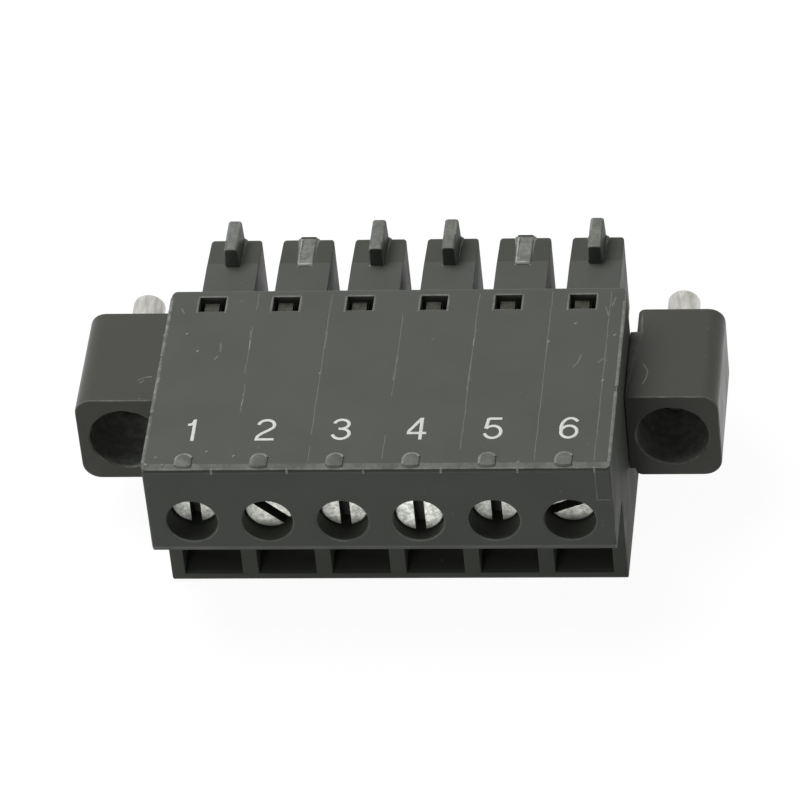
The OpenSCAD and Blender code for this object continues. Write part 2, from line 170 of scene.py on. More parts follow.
def polyamide(name, look, worn=False):
    # glass-filled polyamide from a spark-eroded mould: dull, with a fine even grain
    # that is drawn about twice as coarse as it is, so that it shows
    material = newMaterial(name)
    place = inMillimetres(material)
    clouds = addNode(material, "ShaderNodeTexNoise", {"Vector": place, "Scale": 0.35, "Detail": 5})
    grain = addNode(
        material, "ShaderNodeTexNoise", {"Vector": place, "Scale": 1 / look["grainSize"], "Detail": 3}
    )
    colour = addNode(
        material, "ShaderNodeMix",
        {mixAmount: clouds, mixFirst: linear(look["shade"]), mixSecond: linear(look["colour"])},
        mixedColour, data_type="RGBA",
    )
    flecks = addNode(material, "ShaderNodeTexNoise", {"Vector": place, "Scale": 3.1, "Detail": 1})
    settled = addNode(
        material, "ShaderNodeMapRange", {"Value": flecks, "From Min": 0.78, "From Max": 0.83, "To Max": 0.5}
    )
    colour = addNode(
        material, "ShaderNodeMix",
        {mixAmount: settled, mixFirst: colour, mixSecond: linear(look["dust"])},
        mixedColour, data_type="RGBA",
    )
    if worn:
        # handling turns the sharp edges pale in broken stretches, and every edge is also painted a little
        # pale as a highlight
        rubbing = addNode(
            material, "ShaderNodeTexNoise", {"Vector": place, "Scale": 0.9, "Detail": 6, "Roughness": 0.7}
        )
        rubbed = addNode(
            material, "ShaderNodeMapRange",
            {"Value": rubbing, "From Min": 0.42, "From Max": 0.64, "To Min": 0.16, "To Max": 0.8},
        )
        colour = addNode(
            material, "ShaderNodeMix",
            {mixAmount: rubbed, mixFirst: colour, mixSecond: linear(look["pale"])},
            mixedColour, data_type="RGBA",
        )
    smooth, dull = look["gloss"]
    roughness = addNode(
        material, "ShaderNodeMapRange",
        {"Value": clouds, "From Min": 0.35, "From Max": 0.65, "To Min": dull, "To Max": smooth},
    )
    relief = addNode(
        material, "ShaderNodeBump",
        {"Height": grain, "Strength": 0.5, "Distance": look["grainHeight"] * mm},
    )
    return finishMaterial(material, {
        "Base Color": colour, "Roughness": roughness, "Specular IOR Level": look["sheen"], "Normal": relief,
    })


clampScrewLook = {
    "colour": "#fafbf4", "shade": "#b9bcb5", "gloss": (0.55, 0.72), "markSize": 0.24, "depth": 0.014,
    # painted shade on the lower part of each head
    "headShade": {"colour": "#4c4e4a", "amount": 0.85, "from": screwZ - 0.55 * mm, "to": screwZ - 1.15 * mm},
}
flangeScrewLook = {
    "colour": "#cfcec8", "shade": "#a3a29b", "gloss": (0.24, 0.34), "markSize": 0.3, "depth": 0.002,
    "stretch": (1, 0.15, 1),
}
shoeLook = {
    "colour": "#a9aca8", "shade": "#7e817d", "gloss": (0.32, 0.5), "markSize": 0.25, "depth": 0.01,
}
# painted shade: the tin is drawn dark grey, as it looks in the shade of the windows and chambers
contactLook = {
    "colour": "#4b4c46", "shade": "#353630", "gloss": (0.4, 0.56), "markSize": 0.4, "depth": 0.008,
}


def platedMetal(name, look):
    # plating follows the tool marks under it, so its gloss is patchy and finely scratched
    material = newMaterial(name)
    place = inMillimetres(material, look.get("stretch", (1, 1, 1)))
    clouds = addNode(
        material, "ShaderNodeTexNoise", {"Vector": place, "Scale": 1.4, "Detail": 4, "Roughness": 0.6}
    )
    pitting = addNode(
        material, "ShaderNodeTexNoise",
        {"Vector": place, "Scale": 1 / look["markSize"], "Detail": 5, "Roughness": 0.7},
    )
    amount = addNode(
        material, "ShaderNodeMapRange", {"Value": pitting, "From Min": 0.36, "From Max": 0.62}
    )
    colour = addNode(
        material, "ShaderNodeMix",
        {mixAmount: amount, mixFirst: linear(look["shade"]), mixSecond: linear(look["colour"])},
        mixedColour, data_type="RGBA",
    )
    if "headShade" in look:
        # painted shade: each head is drawn darker towards the bottom, where the lower wall of its hole
        # shades it
        headShade = look["headShade"]
        spot = addNode(material, "ShaderNodeTexCoord", out="Object")
        height = addNode(material, "ShaderNodeSeparateXYZ", {0: spot}, "Z")
        headShading = addNode(material, "ShaderNodeMapRange", {
            "Value": height, "From Min": headShade["from"], "From Max": headShade["to"],
            "To Max": headShade["amount"],
        })
        colour = addNode(
            material, "ShaderNodeMix",
            {mixAmount: headShading, mixFirst: colour, mixSecond: linear(headShade["colour"])},
            mixedColour, data_type="RGBA",
        )
    smooth, dull = look["gloss"]
    roughness = addNode(
        material, "ShaderNodeMapRange",
        {"Value": clouds, "From Min": 0.35, "From Max": 0.65, "To Min": dull, "To Max": smooth},
    )
    relief = addNode(
        material, "ShaderNodeBump", {"Height": pitting, "Strength": 0.6, "Distance": look["depth"] * mm}
    )
    return finishMaterial(
        material, {"Base Color": colour, "Roughness": roughness, "Metallic": 1.0, "Normal": relief}
    )


def padPrintInk():
    # opaque white ink, a little thin where the pad lifted early
    material = newMaterial("pad_print_ink")
    place = inMillimetres(material)
    cover = addNode(material, "ShaderNodeTexNoise", {"Vector": place, "Scale": 5, "Detail": 3})
    thin = addNode(
        material, "ShaderNodeMapRange",
        {"Value": cover, "From Min": 0.3, "From Max": 0.46, "To Min": 0.4, "To Max": 0.0},
    )
    colour = addNode(
        material, "ShaderNodeMix",
        {mixAmount: thin, mixFirst: linear("#f6f8f4"), mixSecond: linear("#c4c7c2")},
        mixedColour, data_type="RGBA",
    )
    return finishMaterial(material, {"Base Color": colour, "Roughness": 0.5, "IOR": 1.5})


def stressedPolyamide(name, base, pale, start):
    # polyamide scraped or cut past yield scatters light and looks chalky
    material = newMaterial(name)
    place = inMillimetres(material)
    breaks = addNode(
        material, "ShaderNodeTexNoise", {"Vector": place, "Scale": 1.9, "Detail": 5, "Roughness": 0.7}
    )
    chalky = addNode(
        material, "ShaderNodeMapRange", {"Value": breaks, "From Min": start, "From Max": start + 0.2}
    )
    colour = addNode(
        material, "ShaderNodeMix",
        {mixAmount: chalky, mixFirst: linear(base), mixSecond: linear(pale)},
        mixedColour, data_type="RGBA",
    )
    return finishMaterial(material, {"Base Color": colour, "Roughness": 0.62, "IOR": 1.53})


finishes = {
    "housing": polyamide("moulded_polyamide", housingLook),
    "housingCoarseShaded": polyamide("moulded_polyamide_coarse_grain_painted_shade", coarseShadedLook),
    "housingShadePainted": polyamide("moulded_polyamide_painted_shade", paintedShadeLook),
    "housingChamberShade": polyamide("moulded_polyamide_polished_cores_painted_shade", chamberShadeLook),
    "housingRubbedHighlit": polyamide("moulded_polyamide_rubbed_painted_highlight", rubbedHighlightLook, worn=True),
    "housingWornHighlit": polyamide("moulded_polyamide_worn_edge_painted_highlight", housingLook, worn=True),
    "flange": polyamide("satin_polyamide", flangeLook),
    "flangeWornHighlit": polyamide("satin_polyamide_worn_edge_painted_highlight", flangeLook, worn=True),
    "clampScrew": platedMetal("zinc_plated_steel", clampScrewLook),
    "flangeScrew": platedMetal("nickel_plated_steel", flangeScrewLook),
    "clampShoe": platedMetal("dull_zinc_steel", shoeLook),
    "contact": platedMetal("tinned_bronze", contactLook),
    "ink": padPrintInk(),
    "chalk": stressedPolyamide("scuffed_polyamide_painted_highlight", "#7b7e79", "#c3c6c0", 0.36),
    "rub": stressedPolyamide("rubbed_edge_polyamide", "#72756f", "#9c9f99", 0.40),
    "flash": stressedPolyamide("parting_line_polyamide", "#656863", "#83867f", 0.42),
    "cut": stressedPolyamide("cut_polyamide", "#6c6f6a", "#8f928d", 0.40),
    # a painted shadow line under the lip
    "shadowLine": stressedPolyamide("painted_shadow_polyamide", "#383a35", "#42443f", 0.40),
    "faint": stressedPolyamide("faintly_scratched_polyamide", "#656863", "#767974", 0.42),
    # painted shade for the deep slots of the screws
    "slotShade": stressedPolyamide("painted_slot_shade", "#262724", "#353632", 0.40),
}
print("materials made:", len(finishes))


# ---- modelling helpers
def makeActive(piece):
    if bpy.context.object and bpy.context.object.mode != "OBJECT":
        bpy.ops.object.mode_set(mode="OBJECT")
    bpy.ops.object.select_all(action="DESELECT")
    piece.select_set(True)
    bpy.context.view_layer.objects.active = piece


def editParts(piece, kind, test):
    # enters edit mode with the vertices, edges or faces selected for which the test holds
    makeActive(piece)
    bpy.ops.object.mode_set(mode="EDIT")
    bpy.ops.mesh.select_mode(type=kind)
    bpy.ops.mesh.select_all(action="DESELECT")
    shape = bmesh.from_edit_mesh(piece.data)
    parts = {"VERT": shape.verts, "EDGE": shape.edges, "FACE": shape.faces}[kind]
    for part in [part for part in parts if test(part)]:
        part.select_set(True)
    bmesh.update_edit_mesh(piece.data)


def leaveEdit():
    bpy.ops.object.mode_set(mode="OBJECT")


def applyPlace(piece):
    makeActive(piece)
    bpy.ops.object.transform_apply(location=True, rotation=True, scale=True)


def applyModifier(piece, kind, **settings):
    makeActive(piece)
    modifier = piece.modifiers.new(kind.lower(), kind)
    for key, value in settings.items():
        setattr(modifier, key, value)
    bpy.ops.object.modifier_apply(modifier=modifier.name)


def smoothShade(piece, degrees=35):
    makeActive(piece)
    bpy.ops.object.shade_smooth_by_angle(angle=math.radians(degrees))
    applyModifier(piece, "WEIGHTED_NORMAL", keep_sharp=True, weight=60)


def paint(piece, *names):
    piece.data.materials.clear()
    for name in names:
        piece.data.materials.append(finishes[name])


def seat(piece, body, slotName, *replaced):
    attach(piece, body)
    if replaced:
        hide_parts(*replaced)


def copyPiece(piece, name):
    makeActive(piece)
    bpy.ops.object.duplicate()
    twin = bpy.context.object
    twin.name = name
    return twin


# ---- mouldings and stampings
softening = {
    "sharpness": 50,                    # edges sharper than this many degrees are broken
    "housing": 0.055 * mm, "flange": 0.06 * mm, "stamping": 0.03 * mm, "merge": 0.0004 * mm,
}
towers = {
    "top": 8.15 * mm, "backFace": 3.1 * mm, "step": 8.65 * mm, "halfPitch": 1.9 * mm,
    "ribHalfWidth": 0.4 * mm, "footHalfWidth": 0.56 * mm, "cutPoles": (2, 5), "cutHeight": 0.03 * mm,
    "tipLift": 0.12 * mm, "tipWidening": 1.045,
}
# parts of a tower, told apart by their height over its top
bands = {
    "whole": (-6 * mm, 0.02 * mm), "loweredTop": (-0.25 * mm, -0.08 * mm),
    "ribFoot": (-0.25 * mm, 0.02 * mm), "ribSide": (0.2 * mm, 1.2 * mm), "ribTop": (1 * mm, 1.2 * mm),
    "stumpTop": (-0.09 * mm, 0.12 * mm), "tip": (-0.3 * mm, -0.08 * mm),
}
# the body of the housing: what is painted apart, and the lowered edge of the screw face
bodyForm = {
    "wireSetback": 3.9 * mm, "sillTop": 5.5 * mm, "sillDepth": 0.5 * mm, "endWall": 0.5 * mm,
    "chamberFloor": 0.3 * mm, "chamberTop": 9.35 * mm, "chamberBack": 1 * mm, "holeRadius": 1.32 * mm,
    "mouthRadius": 1.5 * mm, "lipSlope": 0.34 * mm, "lipTop": 0.1 * mm, "lipFoot": 0.6 * mm,
    "overhang": 5.55 * mm, "overhangBand": 0.11 * mm, "overhangDrop": 0.15 * mm,
}
flangeForm = {"boreRadius": 1.9 * mm, "webWidth": 0.6 * mm}
leadIn = 0.09 * mm                      # depth of the cone round the mouth of a hole or bore


def softenedCopy(node, name, width, segments, *finishNames):
    # a copy of the solid with its loose triangles merged and its outer edges rounded
    piece = copyPiece(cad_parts[node], name)
    piece.parent = None
    for key in list(piece.keys()):
        del piece[key]
    makeActive(piece)
    bpy.ops.mesh.customdata_custom_splitnormals_clear()
    bpy.ops.object.mode_set(mode="EDIT")
    bpy.ops.mesh.select_all(action="SELECT")
    bpy.ops.mesh.remove_doubles(threshold=softening["merge"])
    bpy.ops.mesh.mark_sharp(clear=True)
    leaveEdit()
    paint(piece, *finishNames)
    sharpness = math.radians(softening["sharpness"])
    editParts(piece, "EDGE", lambda edge: (
        len(edge.link_faces) == 2 and edge.is_convex and edge.calc_face_angle() > sharpness
    ))
    bpy.ops.mesh.bevel(
        offset=width, segments=segments, affect="EDGES", clamp_overlap=False, loop_slide=False,
        material=len(finishNames) - 1,
    )
    leaveEdit()
    return piece


def repaintFaces(piece, finish, test):
    # the test is given the middle and the normal of each face
    index = piece.data.materials.find(finishes[finish].name)
    editParts(piece, "FACE", lambda face: test(face.calc_center_median(), face.normal))
    piece.active_material_index = index
    bpy.ops.object.material_slot_assign()
    leaveEdit()


def moveVertices(piece, test, move):
    editParts(piece, "VERT", lambda vertex: test(vertex.co))
    bpy.ops.transform.translate(value=move)
    leaveEdit()


def isLeadIn(place, normal, y):
    # the narrow cone round the mouth of a hole or bore that opens towards the wire side
    return place.y < y + leadIn and -0.9 < normal.y < -0.5


def offPole(place, polesAsked):
    return min(abs(place.x - poleX(i)) for i in polesAsked)


def adjustHousing(piece):
    # the far part of each top lies only a little below the near part, and the towers widen a little
    t = towers
    low, high = bands["tip"]
    moveVertices(piece, lambda place: (
        place.y > t["step"] - 0.01 * mm and low < place.z - t["top"] < high
    ), (0, 0, t["tipLift"]))
    for i in poles:
        middle = poleX(i)
        editParts(piece, "VERT", lambda vertex: (
            vertex.co.y > t["step"] - 0.1 * mm and abs(vertex.co.x - middle) < t["halfPitch"]
        ))
        bpy.ops.transform.resize(value=(t["tipWidening"], 1, 1), center_override=(middle, 0, 0))
        leaveEdit()
    # the screw face reaches a little lower over the wire face
    moveVertices(piece, lambda place: (
        place.y < frontY + bodyForm["wireSetback"] + 0.1 * mm
        and abs(place.z - bodyForm["overhang"]) < bodyForm["overhangBand"]
    ), (0, 0, -bodyForm["overhangDrop"]))


def clearMarks(piece):
    # the pole marks are modelled apart, so the top is closed where they stood
    editParts(piece, "FACE", lambda face: face.calc_center_median().z > topZ + 0.005 * mm)
    bpy.ops.mesh.delete(type="FACE")
    bpy.ops.mesh.select_all(action="SELECT")
    bpy.ops.mesh.fill_holes(sides=0)
    leaveEdit()


def repaintTowers(piece):
    t = towers

    def isOn(band, place):
        low, high = bands[band]
        return place.y > t["backFace"] + 0.2 * mm and low < place.z - t["top"] < high

    # the towers keep crisp dark edges, and only their lowered tops get the coarse grain, darkened as painted
    # shade
    repaintFaces(piece, "housing", lambda place, normal: isOn("whole", place))
    repaintFaces(piece, "housingCoarseShaded", lambda place, normal: (
        isOn("loweredTop", place) and normal.z > 0.9 and place.y > t["step"]
    ))
    # the long edges of the ribs are worn, their rounded feet are painted pale as a highlight, and their tops
    # are rubbed
    repaintFaces(piece, "housingWornHighlit", lambda place, normal: (
        (isOn("ribFoot", place) or isOn("ribSide", place))
        and 0.2 < abs(normal.x) < 0.97 and offPole(place, poles) < t["footHalfWidth"]
    ))
    repaintFaces(piece, "flash", lambda place, normal: isOn("ribTop", place) and normal.z > 0.97)
    repaintFaces(piece, "cut", lambda place, normal: (
        isOn("stumpTop", place) and normal.z > 0.95 and place.y > t["step"] - 0.2 * mm
        and offPole(place, t["cutPoles"]) < t["ribHalfWidth"]
    ))


def repaintBody(piece):
    b = bodyForm
    screwFaceY = frontY + lipDepth
    wireFaceY = frontY + b["wireSetback"]

    def isInChamber(place, normal):
        if place.y >= b["chamberBack"] or place.z >= b["chamberTop"]:
            return False
        if abs(place.x) >= housingHigh.x - b["endWall"]:
            return False
        if abs(normal.x) > 0.9:
            return place.y > wireFaceY
        return abs(normal.x) < 0.7 and place.y > wireFaceY + 0.02 * mm and place.z > b["chamberFloor"]

    # the lip and the mouths of the screw holes are rubbed a little and painted pale as a highlight
    repaintFaces(piece, "housingRubbedHighlit", lambda place, normal: (
        isLeadIn(place, normal, screwFaceY) and abs(place.z - screwZ) < b["mouthRadius"]
        or place.y < frontY + b["lipSlope"] and 0.9 < normal.z < 0.99
    ))
    # the wire chambers come off polished cores and are painted darker as shade, and the screw holes are
    # painted with shade
    repaintFaces(piece, "housingChamberShade", isInChamber)
    repaintFaces(piece, "housingShadePainted", lambda place, normal: (
        screwFaceY + leadIn < place.y < wireFaceY and abs(normal.y) < 0.3
        and abs(place.z - screwZ) < b["holeRadius"] and offPole(place, poles) < b["holeRadius"]
    ))
    # the recessed wire face and the ends get the coarse grain darkened as painted shade, and painted shade
    # lies under the lip
    repaintFaces(piece, "housingCoarseShaded", lambda place, normal: (
        place.z < b["sillTop"] and place.y < wireFaceY + b["sillDepth"]
        or abs(place.x) > housingHigh.x - 0.02 * mm and abs(normal.x) > 0.97
    ))
    repaintFaces(piece, "housingShadePainted", lambda place, normal: (
        frontY - 0.01 * mm < place.y < screwFaceY - 0.005 * mm and normal.z < 0.05
        and topZ - b["lipFoot"] < place.z < topZ - b["lipTop"]
    ))


def addMouldings():
    housing = softenedCopy(
        "housing", "housingMoulding", softening["housing"], 2,
        "housing", "cut", "flash", "housingCoarseShaded", "housingShadePainted", "housingChamberShade", "housingRubbedHighlit",
        "housingWornHighlit",
    )
    repaintTowers(housing)
    repaintBody(housing)
    adjustHousing(housing)
    clearMarks(housing)
    smoothShade(housing)
    seat(housing, "housing", "housing", "housing")
    for side in sides:
        flange = softenedCopy(
            f"flange_{side}", f"{side}Flange", softening["flange"], 3,
            "flange", "flash", "housingRubbedHighlit", "flangeWornHighlit",
        )
        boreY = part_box(f"flange_{side}")[0].y
        low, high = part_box(f"flange_screw_{side}")
        axis = (low + high) / 2
        repaintFaces(flange, "flangeWornHighlit", lambda place, normal: isLeadIn(place, normal, boreY))
        # the screw head has rubbed the wall of the bore dull and pale
        repaintFaces(flange, "flash", lambda place, normal: (
            abs(normal.y) < 0.3
            and math.hypot(place.x - axis.x, place.z - axis.z) < flangeForm["boreRadius"]
        ))
        # the web is grained like the housing and painted pale as a highlight
        repaintFaces(flange, "housingRubbedHighlit", lambda place, normal: (
            abs(place.x) < housingHigh.x + flangeForm["webWidth"] and normal.z > 0.9
        ))
        smoothShade(flange)
        seat(flange, "housing", "flange", f"flange_{side}")
    print("mouldings made")


# the test lugs stand a little higher in their windows, and one wide tongue shows in each;
# each part lies (from, to) across the pole and is moved by the third value, in mm
lugs = {
    "reach": 0.55 * mm,
    "parts": ((0.24, 0.7, (0, 0, -0.42)), (0.1, 0.24, (0.2, 0, 0.12)), (-0.7, 0.1, (0.04, 0, 0.12))),
}


def addStampings():
    for i in poles:
        shoe = softenedCopy(f"clamp_shoe_{i}", f"clampShoe{i}", softening["stamping"], 2, "clampShoe")
        smoothShade(shoe)
        seat(shoe, f"clamp_shoe_{i}", "clampShoe", f"clamp_shoe_{i}")
        contact = softenedCopy(f"contact_{i}", f"contactStrip{i}", softening["stamping"], 2, "contact")
        for start, end, move in lugs["parts"]:
            moveVertices(contact, lambda place: (
                place.z > topZ - lugs["reach"] and start < (place.x - poleX(i)) / mm < end
            ), [m * mm for m in move])
        smoothShade(contact)
        seat(contact, "housing", "contact", f"contact_{i}")
    print("stampings made")


# ---- strokes: print, flash and wear
def arc(x, y, rx, ry, start, end, steps=12):
    turns = [math.radians(start + (end - start) * k / steps) for k in range(steps + 1)]
    return [(x + rx * math.cos(t), y + ry * math.sin(t)) for t in turns]


def addStrokes(name, lines, width, relief, origin, finish, upright=False):
    # round strokes drawn in mm from the origin and pressed flat to the given relief
    drawing = bpy.data.curves.new(name, "CURVE")
    drawing.dimensions = "3D"
    drawing.bevel_depth = width / 2 * mm
    drawing.bevel_resolution = 2
    drawing.use_fill_caps = True
    for line in lines:
        spline = drawing.splines.new("POLY")
        spline.points.add(len(line) - 1)
        for k, (x, y) in enumerate(line):
            spline.points[k].co = (x * mm, y * mm, 0, 1)
    piece = bpy.data.objects.new(name, drawing)
    bpy.context.scene.collection.objects.link(piece)
    makeActive(piece)
    bpy.ops.object.convert(target="MESH")
    piece.location = origin
    piece.rotation_euler.x = math.pi / 2 if upright else 0
    piece.scale.z = 2 * relief / width
    applyPlace(piece)
    paint(piece, finish)
    smoothShade(piece)
    seat(piece, "housing", "housing")
    return piece


numerals = {"stroke": 0.17, "relief": 0.012, "fromFront": 2.94 * mm}
# centre lines of the strokes, in mm from the middle of each numeral
numeralStrokes = {
    1: [[(-0.18, 0.40), (-0.04, 0.43), (0.08, 0.53), (0.14, 0.72)], [(0.15, 0.80), (0.15, -0.83)]],
    2: [
        arc(0, 0.34, 0.40, 0.39, 175, -30)
        + [(0.12, -0.06), (-0.2, -0.30), (-0.37, -0.50), (-0.42, -0.72)],
        [(-0.50, -0.74), (0.46, -0.74)],
    ],
    3: [
        arc(-0.02, 0.385, 0.37, 0.345, 170, -88),
        arc(0, -0.345, 0.42, 0.385, 90, -170),
        [(-0.15, 0.04), (0.02, 0.04)],
    ],
    4: [[(0.17, 0.78), (-0.44, -0.24)], [(-0.49, -0.32), (0.48, -0.32)], [(0.2, 0.83), (0.2, -0.83)]],
    5: [
        [(-0.28, 0.74), (0.40, 0.74)], [(-0.27, 0.74), (-0.36, -0.02)],
        arc(0, -0.27, 0.41, 0.46, 146, -166, 18),
    ],
    6: [arc(0.05, 0.02, 0.46, 0.72, 40, 205, 16), arc(0, -0.28, 0.40, 0.45, 0, 360, 24)],
}


def addNumerals():
    for i in poles:
        origin = Vector((poleX(i), frontY + numerals["fromFront"], topZ))
        addStrokes(
            f"numeral{i}", numeralStrokes[i], numerals["stroke"], numerals["relief"], origin, "ink"
        )
    print("numerals printed")


# parting lines between the mould inserts: fine raised lines, each (across, from, to) in mm
seams = {
    "width": 0.05, "relief": 0.008, "step": 0.5, "wander": 0.02,
    "lines": [
        (-7.2, 2.7, 1.4), (-7.25, 0.1, -3.6), (-7.15, -4.4, -6.6), (-3.4, 2.6, -8.3), (-3.35, -9.2, -10.4),
        (0.4, 1.0, -5.4), (0.35, -8.4, -10.2), (4.2, 2.6, -9.6), (7.95, 2.7, -10.4), (10.95, 2.7, -10.5),
    ],
}
# scuffs and nicks on the top face: finish, width, relief and lines, in mm from the middle
scuffs = {
    "tears": ("faint", 0.05, 0.006, [
        [(-7.33, -0.2), (-7.26, -1.0), (-7.24, -1.75)], [(-7.12, -5.0), (-7.17, -5.3), (-7.12, -5.9)],
        [(-7.15, -6.1), (-7.2, -6.55)], [(0.44, -2.3), (0.4, -3.0), (0.33, -4.2)],
        [(4.24, -0.2), (4.2, -1.9)], [(4.18, -2.6), (4.15, -5.0)], [(7.97, -1.2), (7.94, -3.0)],
        [(-3.35, -0.4), (-3.38, -1.6)], [(10.95, -6.8), (10.93, -8.4)],
    ]),
    "scrapes": ("faint", 0.08, 0.004, [
        [(-8.76, -1.2), (-8.71, -1.5), (-8.7, -1.9)], [(-8.8, -2.2), (-8.95, -2.5)],
        [(9.73, -2.35), (9.6, -2.9), (9.37, -3.3)], [(10.6, -2.95), (10.9, -2.6), (11.05, -2.8)],
        [(-11.1, 1.6), (-10.9, 1.2)], [(11.2, 2.2), (11.05, 1.5)], [(10.75, 1.4), (10.9, 0.8)],
    ]),
    "nicks": ("rub", 0.17, 0.012, [
        [(x, y), (x + 0.06, y - 0.05)] for x, y in (
            (-9.9, -1.78), (-10.6, -0.4), (-3.46, -3.58), (-8.56, -9.57), (-7.18, -9.92), (9.25, 0.18),
            (7.97, -1.27), (11.3, -0.76), (10.93, -4.29), (-11.1, -10.0), (7.14, -10.5),
        )
    ]),
    "edges": ("flash", 0.17, 0.02, [
        [(-11.66, 2.4), (-11.67, -2.2)], [(-11.66, -2.6), (-11.67, -6.6)], [(-11.67, -6.9), (-11.67, -10.5)],
        [(11.67, 1.9), (11.68, -4.8)], [(11.67, -5.2), (11.68, -10.5)],
    ]),
    "brightTears": ("rub", 0.06, 0.01, [
        [(-7.26, -1.0), (-7.24, -1.75)], [(-7.13, -5.6), (-7.17, -6.1)], [(4.2, -1.0), (4.19, -1.5)],
        [(7.97, -1.1), (7.97, -1.3)], [(-3.38, -1.5), (-3.38, -1.65)],
    ]),
    "chips": ("rub", 0.16, 0.03, [
        [(-11.63, 1.0), (-11.65, 0.6)], [(-11.64, -1.2), (-11.66, -1.9)], [(-11.6, -3.9), (-11.65, -4.3)],
        [(-11.66, 2.2), (-11.66, 1.3)], [(-11.66, 0.2), (-11.67, -0.3)], [(-11.64, -2.9), (-11.66, -3.3)],
        [(-11.67, -4.9), (-11.67, -5.2)], [(-11.67, -8.4), (-11.67, -8.6)],
        [(11.66, -10.45), (11.67, -10.55)], [(-11.6, -10.55), (-11.4, -10.6)],
        [(-10.7, -10.6), (-10.62, -10.6)],
    ]),
}
# the same on the tops of the flanges
flangeScuffs = ("flash", 0.07, 0.006, [
    [(-13.35, -1.1), (-13.0, -0.86), (-12.62, -0.8)], [(-13.2, -1.3), (-13.0, -1.1)],
    [(-13.12, -2.5), (-13.05, -2.55)], [(12.55, -0.05), (12.83, -0.6), (12.78, -1.2), (12.6, -1.7)],
])
# left and near edges of the two stumps, from the pole: chalky where cut, and painted pale as a highlight on
# the side the light falls on
stumpLitEdge = {"left": -0.35, "right": 0.33, "near": 8.68, "far": 10.7, "width": 0.12, "relief": 0.03}
windows = {
    "halfWidth": 0.67, "near": 1.25, "far": 2.4, "rim": 0.1, "relief": 0.012, "overrun": 0.05,
    "sideShare": 0.7,                   # how far out the side rims lie, as a share of their width
}
# hair lines on the screw face and a painted shadow line under the lip, as (across, up) in mm
faceLines = ("flash", 0.05, 0.008, [[(10.96, 10.7), (10.97, 8.85)], [(10.97, 8.82), (11.62, 8.84)]])
lipShadowLine = ("shadowLine", 0.13, 0.005, [[(-11.6, 10.73), (11.6, 10.73)]])
bridges = {
    "places": (-8.19, -4.39, -0.55, 3.32, 7.14, 10.96), "size": (0.12, 0.11, 0.34), "belowTop": 0.07,
    "edge": 0.02,
}
# low arched marks that point from the lip at each screw; their rims catch the light and are painted pale on
# the lit side as a highlight
poleMarks = {
    "acrossPole": -0.09, "fromFront": 0.62, "radius": 0.43, "leg": 0.42, "frontFlatness": 0.3,
    "middle": -0.2, "sunk": 0.14,
    "dome": ((0.07, 0.9), (0.05, 0.6)),                 # rise and scale of each step
    "rimShare": 0.93, "rimTurn": (180, 20), "rimRise": 0.05, "rimWidth": 0.15, "rimRelief": 0.045,
}


def addSeams():
    chance = random.Random(11)
    lines = []
    for x, start, end in seams["lines"]:
        steps = max(2, round((start - end) / seams["step"]))
        lines.append([
            (x + chance.uniform(-1, 1) * seams["wander"], start + (end - start) * k / steps)
            for k in range(steps + 1)
        ])
    addStrokes("partingLines", lines, seams["width"], seams["relief"], Vector((0, 0, topZ)), "faint")
    print("parting lines made:", len(lines), "stretches")


def addMarks(name, marks, origin, upright=False):
    finish, width, relief, lines = marks
    addStrokes(name, lines, width, relief, origin, finish, upright)


def addScuffs():
    for name, marks in scuffs.items():
        addMarks(name, marks, Vector((0, 0, topZ)))
    flangeTop = Vector((0, 0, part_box("flange_left")[1].z))
    addMarks("flangeScuffs", flangeScuffs, flangeTop)
    s = stumpLitEdge
    corners = ((s["left"], s["far"]), (s["left"], s["near"]), (s["right"], s["near"]))
    edges = [[(poleX(i) / mm + x, y) for x, y in corners] for i in towers["cutPoles"]]
    stumpTop = Vector((0, 0, towers["top"] + towers["cutHeight"]))
    addStrokes("stumpEdges", edges, s["width"], s["relief"], stumpTop, "chalk")
    screwFace = Vector((0, frontY + lipDepth, 0))
    addMarks("faceLines", faceLines, screwFace, upright=True)
    addMarks("lipShadowLine", lipShadowLine, screwFace, upright=True)
    print("scuffs made")


def addWindowRims():
    # the inserts left a low burr along both sides and the far edge of each test window
    w = windows
    lines = []
    for i in poles:
        middle = poleX(i) / mm
        for side in (-1, 1):
            x = middle + side * (w["halfWidth"] + w["sideShare"] * w["rim"])
            lines.append([(x, w["near"] - w["overrun"]), (x, w["far"] + w["overrun"])])
        far = w["far"] + w["rim"]
        lines.append([(middle - w["halfWidth"], far), (middle + w["halfWidth"], far)])
    addStrokes("windowRims", lines, w["rim"], w["relief"], Vector((0, 0, topZ)), "flash")
    print("window rims made")


def addLipBridges():
    # between two poles a thin bridge of plastic crosses the underside of the lip
    width, depth, height = bridges["size"]
    bpy.ops.object.select_all(action="DESELECT")
    made = []
    for x in bridges["places"]:
        down = bridges["belowTop"] + height / 2
        place = Vector((x * mm, frontY + depth / 2 * mm, topZ - down * mm))
        bpy.ops.mesh.primitive_cube_add(size=1, location=place)
        bridge = bpy.context.object
        bridge.scale = (width * mm, depth * mm, height * mm)
        made.append(bridge)
    for bridge in made:
        bridge.select_set(True)
    bpy.ops.object.join()
    piece = bpy.context.object
    piece.name = "lipBridges"
    applyPlace(piece)
    breakEdges(piece, bridges["edge"])
    paint(piece, "rub")
    smoothShade(piece)
    seat(piece, "housing", "housing")
    print("lip bridges made:", len(made))


